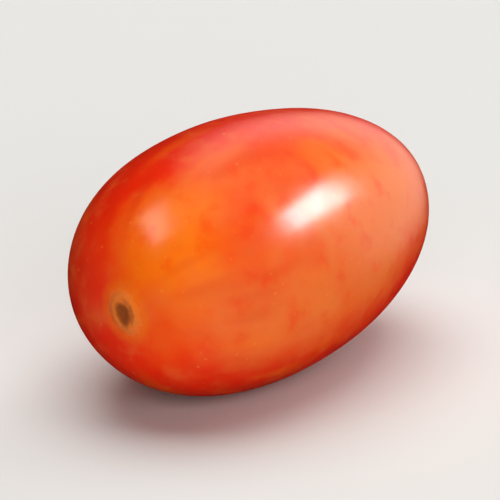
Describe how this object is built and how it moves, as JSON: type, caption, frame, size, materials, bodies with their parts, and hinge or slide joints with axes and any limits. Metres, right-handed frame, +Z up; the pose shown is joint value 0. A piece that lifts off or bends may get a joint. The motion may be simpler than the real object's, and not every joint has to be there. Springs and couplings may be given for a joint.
{
  "type": "cherry plum tomato",
  "caption": "Ripe cherry plum tomato without its calyx: an egg-shaped fruit lying on its side, with a small sunken stem scar at its blunt end.",
  "frame": {"origin": "on the surface that the fruit lies on, under the middle of its box", "axes": "+X along the fruit's length from the stem scar to the blossom tip, +Z up, +Y across"},
  "size_m": [0.04, 0.0242, 0.0226],
  "materials": {
    "tomato_skin": "smooth glossy ripe tomato skin, red-orange with paler orange patches and streaks, and a small brown corky stem scar"
  },
  "bodies": {
    "root": {"tomato": "tomato_skin"}
  },
  "joints": []
}
